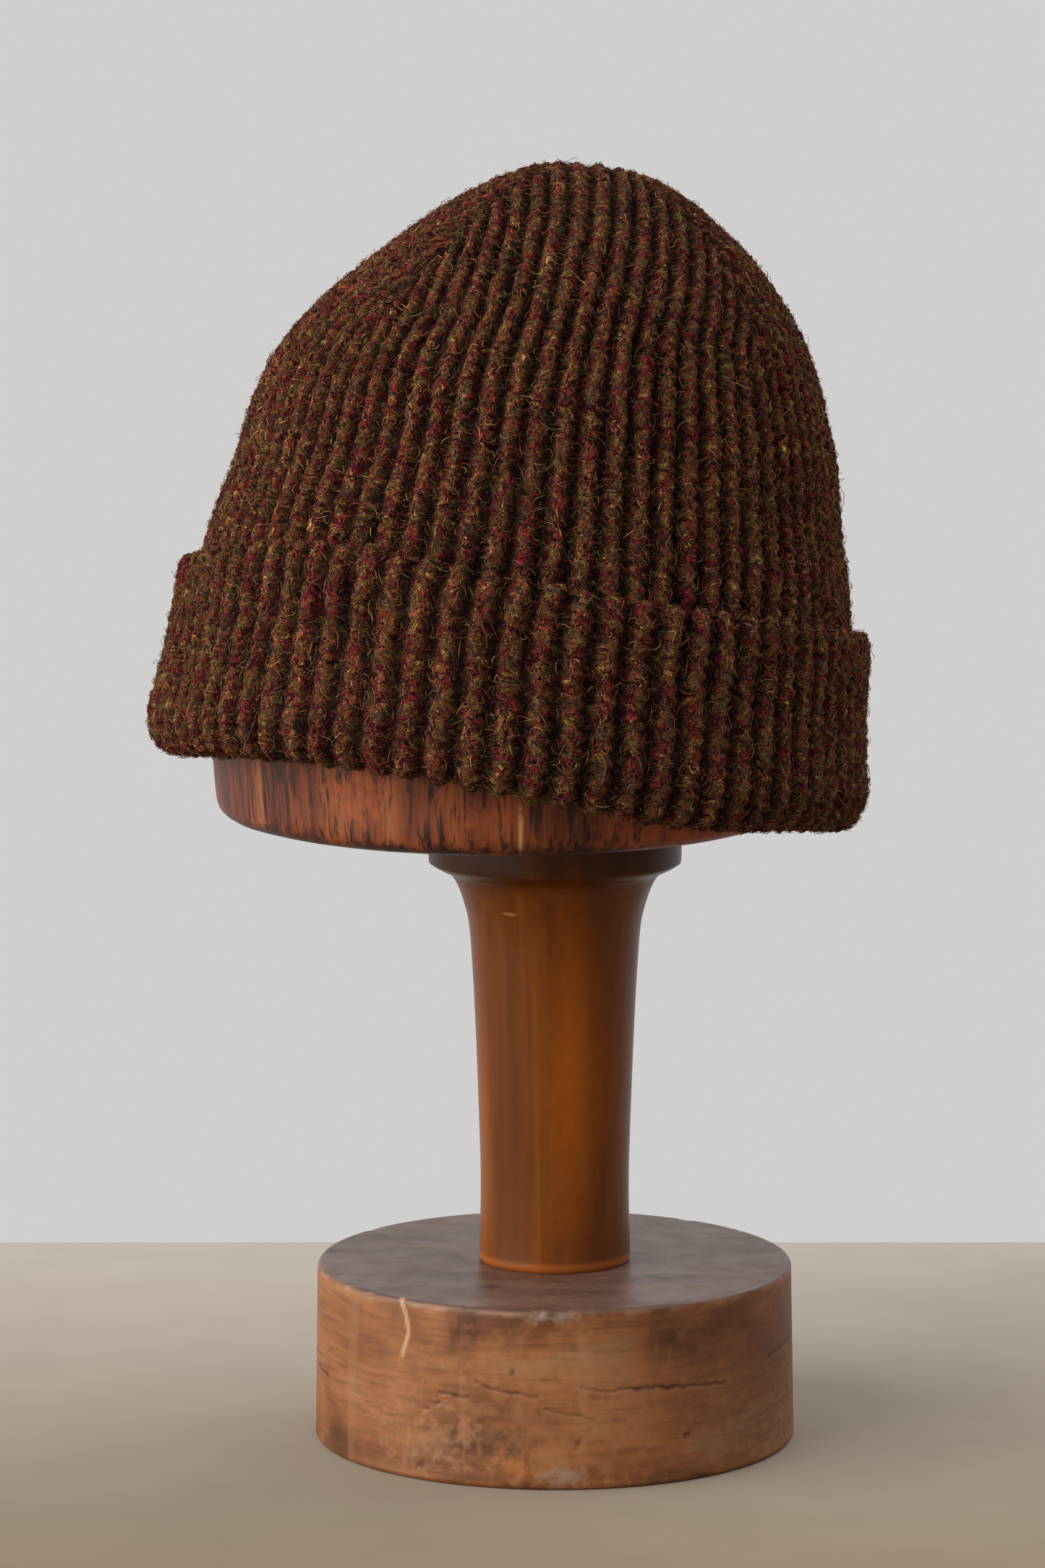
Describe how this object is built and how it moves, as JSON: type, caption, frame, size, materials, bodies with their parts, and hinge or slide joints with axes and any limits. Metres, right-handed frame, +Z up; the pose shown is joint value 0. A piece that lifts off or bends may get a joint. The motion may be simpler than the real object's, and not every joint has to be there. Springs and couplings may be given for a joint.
{
  "type": "knit hat on wooden hat stand",
  "caption": "Ribbed knit hat with a four-panel crown and a turned-up cuff, leaning on a round-footed turned wooden hat stand.",
  "frame": {"origin": "centre of the stand's round foot, on the surface it stands on", "axes": "+Z up along the stem, -Y towards the front of the hat, +X to the right as seen from the front"},
  "size_m": [0.2084, 0.2368, 0.3695],
  "materials": {
    "knit": "heathered wool yarn, brown with burgundy, rust and olive fibres",
    "block_wood": "old dark red-brown wood, worn and dry",
    "stem_wood": "smooth orange-brown varnish",
    "base_wood": "worn brown wood with cracks and stains"
  },
  "bodies": {
    "root": {"hat_crown": "knit", "hat_cuff": "knit", "stand_block": "block_wood", "stand_stem": "stem_wood", "stand_base": "base_wood"}
  },
  "joints": []
}
